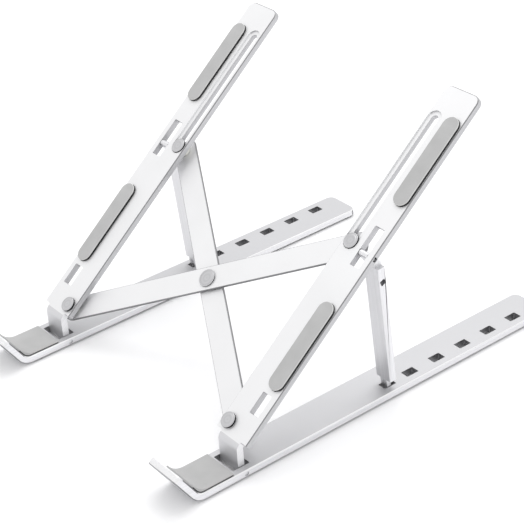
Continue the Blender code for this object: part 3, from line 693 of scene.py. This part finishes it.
class LAPTOPSTAND_OT_rivets(bpy.types.Operator):
    """Build the five turned rivets of the brace"""

    bl_idname = "laptopstand.rivets"
    bl_label = "Rivets"

    def execute(self, context):
        finish = context.scene.laptop_stand_finish
        edges = context.scene.laptop_stand_edges
        steels = [
            turned_nickel("turned nickel plated steel, rivet faces", finish.rivet_colour),
            turned_nickel("steel, rivet rims in painted shade", finish.rivet_rim_shade_colour),
        ]
        names = [f"{side}_{kind}_rivet" for side in SIDES for kind in ("lower", "slide")]
        for node in names + ["centre_rivet"]:
            low, high = arm_box(node)
            centre = (low + high) / 2
            radius = (high.x - low.x) / 2
            back = arm_place(centre.x).inverted()
            spots = [back @ v.co for v in frame["nodes"][node].data.vertices]
            rings = [(math.hypot(v.x, v.y - centre.y), v.z) for v in spots]
            seat = min(z for r, z in rings if r > radius * 0.98)
            shank = min(r for r, z in rings if r > AXIS_ZONE)
            tail_top = max(z for r, z in rings if AXIS_ZONE < r < shank * 1.05 and z < seat - MM)
            tail = max(r for r, z in rings if z < tail_top + 0.001 * MM)
            soft = (high.z - seat) * HEAD_SOFT
            groove = edges.groove
            flat = radius - soft
            profile = [(0, high.z - HEAD_DISH), (radius * 0.55, high.z - HEAD_DISH * 0.4)]
            profile += [(flat - 2 * groove, high.z), (flat - 1.5 * groove, high.z - groove * 0.4)]
            profile += [(flat - groove, high.z)]
            profile += reversed(arc((flat, high.z - soft), soft, 0, 90, 6))
            profile += [(radius, seat + HEAD_LIP), (radius - HEAD_LIP, seat), (shank, seat)]
            profile += [(shank, tail_top), (tail, tail_top), (tail, low.z + TAIL_CHAMFER.y)]
            profile += [(tail - 0.3 * TAIL_CHAMFER.x, low.z + 0.3 * TAIL_CHAMFER.y)]
            profile += [(tail - TAIL_CHAMFER.x, low.z), (0, low.z + TAIL_CHAMFER.y / 2)]
            rivet = applied(turned(f"{node}_fine", profile))
            rivet.matrix_world = arm_place() @ Matrix.Translation((centre.x, centre.y, 0))
            finish_piece(rivet, steels, BODY_OF[node], "nickel_steel", node, rule=wall_rule)
        return {"FINISHED"}


class LAPTOPSTAND_OT_pads(bpy.types.Operator):
    """Build the silicone pads on the arms and in the hooks"""

    bl_idname = "laptopstand.pads"
    bl_label = "Silicone pads"

    def execute(self, context):
        finish = context.scene.laptop_stand_finish
        edges = context.scene.laptop_stand_edges
        silicones = [
            moulded_silicone("moulded grey silicone, pad tops", finish.silicone_colour),
            moulded_silicone("silicone, pad feet in painted shade", finish.pad_foot_shade_colour),
            moulded_silicone("grey silicone, pad rims in painted highlight", finish.pad_rim_highlight_colour),
        ]
        for side in SIDES:
            for kind in ("upper", "lower"):
                node = f"{side}_{kind}_arm_pad"
                low, high = arm_box(node)
                centre = (low + high) / 2
                size = high - low
                rim = high.z - edges.pad_edge * RIM_SHARE
                pad = slab(f"{node}_fine", stadium(size.x / 2, size.y), (low.z, rim, high.z))
                pad.matrix_world = arm_place() @ Matrix.Translation((centre.x, centre.y, 0))
                rounded(pad, edges.pad_edge, 5, 60)

                # A pad's top keeps the silicone's colour; the lower part of its wall gets painted shade
                # and the upper part a painted highlight.
                def pad_rule(normal, middle, rim=rim):
                    if abs(normal.dot(ARM_NORMAL)) > LEANING:
                        return FACE
                    return EDGE if (middle - HINGE).dot(ARM_NORMAL) < rim else CHAMFER

                finish_piece(pad, silicones, BODY_OF[node], "grey_silicone", node, rule=pad_rule)
            node = f"{side}_hook_pad"
            pad = rounded(shade_band_at_foot(refined(node, f"{node}_fine"), edges.pad_shade_band), edges.leg_edge)
            finish_piece(pad, silicones, BODY_OF[node], "grey_silicone", node)
        return {"FINISHED"}


class LAPTOPSTAND_OT_strips(bpy.types.Operator):
    """Build the rubber grip strips under the rails"""

    bl_idname = "laptopstand.strips"
    bl_label = "Grip strips"

    def execute(self, context):
        finish = context.scene.laptop_stand_finish
        edges = context.scene.laptop_stand_edges
        rubber = moulded_silicone("moulded dark rubber, strips", finish.rubber_colour)
        for side in SIDES:
            for kind in ("front", "middle", "rear"):
                node = f"{side}_{kind}_grip_strip"
                strip = rounded(refined(node, f"{node}_fine"), edges.leg_edge)
                finish_piece(strip, [rubber], BODY_OF[node], "dark_rubber", node)
        return {"FINISHED"}


class LAPTOPSTAND_OT_stage(bpy.types.Operator):
    """Build the pale desk, the soft light and the camera"""

    bl_idname = "laptopstand.stage"
    bl_label = "Desk, light and camera"

    def execute(self, context):
        scene = context.scene
        settings = scene.laptop_stand_stage
        bpy.ops.mesh.primitive_plane_add(size=6.0, location=(0, 0, 0))
        desk = context.object
        desk.name = "desk"
        desk.data.materials.append(matt_desk("pale laminate desk", settings.desk_colour))

        world = bpy.data.worlds.new("soft room")
        world.use_nodes = True
        scene.world = world
        nodes = world.node_tree.nodes
        background = nodes["Background"]
        background.inputs["Color"].default_value = linear("FFFFFF")
        background.inputs["Strength"].default_value = settings.sky

        def light(name, place, target, size, power):
            lamp = bpy.data.lights.new(name, "AREA")
            lamp.shape = "RECTANGLE"
            lamp.size, lamp.size_y = size
            lamp.energy = power
            obj = bpy.data.objects.new(name, lamp)
            obj.location = place
            obj.rotation_euler = (Vector(target) - Vector(place)).to_track_quat("-Z", "Y").to_euler()
            scene.collection.objects.link(obj)

        light("overhead", (-0.3, 0.5, 1.5), (0, 0, 0.05), (1.4, 1.4), settings.key)

        az, el, roll = settings.azimuth, settings.elevation, settings.roll
        forward = Vector((-math.sin(az) * math.cos(el), math.cos(az) * math.cos(el), -math.sin(el)))
        level = Vector((math.cos(az), math.sin(az), 0))
        upright = level.cross(forward)
        right = level * math.cos(roll) + upright * math.sin(roll)
        up = upright * math.cos(roll) - level * math.sin(roll)
        camera = bpy.data.objects.new("camera", bpy.data.cameras.new("camera"))
        camera.data.sensor_width = 36.0
        camera.data.lens = settings.lens
        turn = Matrix((right, up, -forward)).transposed().to_4x4()
        offset = Vector(settings.camera_offset) + Vector((0, HINGE.y, 0))
        camera.matrix_world = Matrix.Translation(offset) @ turn
        scene.collection.objects.link(camera)
        scene.camera = camera
        scene.view_settings.view_transform = "Standard"
        return {"FINISHED"}


class LAPTOPSTAND_PT_panel(bpy.types.Panel):
    """Sidebar panel with every step"""

    bl_idname = "LAPTOPSTAND_PT_panel"
    bl_label = "Laptop stand"
    bl_space_type = "VIEW_3D"
    bl_region_type = "UI"
    bl_category = "Laptop stand"

    def draw(self, context):
        for step in STEPS:
            self.layout.operator(step.bl_idname)
        for group in ("laptop_stand_finish", "laptop_stand_edges", "laptop_stand_stage"):
            settings = getattr(context.scene, group)
            for name in settings.__annotations__:
                self.layout.prop(settings, name)


STEPS = (
    LAPTOPSTAND_OT_rails,
    LAPTOPSTAND_OT_arms,
    LAPTOPSTAND_OT_legs,
    LAPTOPSTAND_OT_brace,
    LAPTOPSTAND_OT_rivets,
    LAPTOPSTAND_OT_pads,
    LAPTOPSTAND_OT_strips,
    LAPTOPSTAND_OT_stage,
)
GROUPS = {
    "laptop_stand_finish": LaptopStandFinish,
    "laptop_stand_edges": LaptopStandEdges,
    "laptop_stand_stage": LaptopStandStage,
}


def register():
    for cls in (*GROUPS.values(), *STEPS, LAPTOPSTAND_PT_panel):
        bpy.utils.register_class(cls)
    for name, cls in GROUPS.items():
        setattr(bpy.types.Scene, name, bpy.props.PointerProperty(type=cls))


def unregister():
    for name in GROUPS:
        delattr(bpy.types.Scene, name)
    for cls in reversed((*GROUPS.values(), *STEPS, LAPTOPSTAND_PT_panel)):
        bpy.utils.unregister_class(cls)


def main():
    register()
    for step in STEPS:
        prefix, name = step.bl_idname.split(".")
        getattr(getattr(bpy.ops, prefix), name)()


if __name__ == "__main__":
    main()
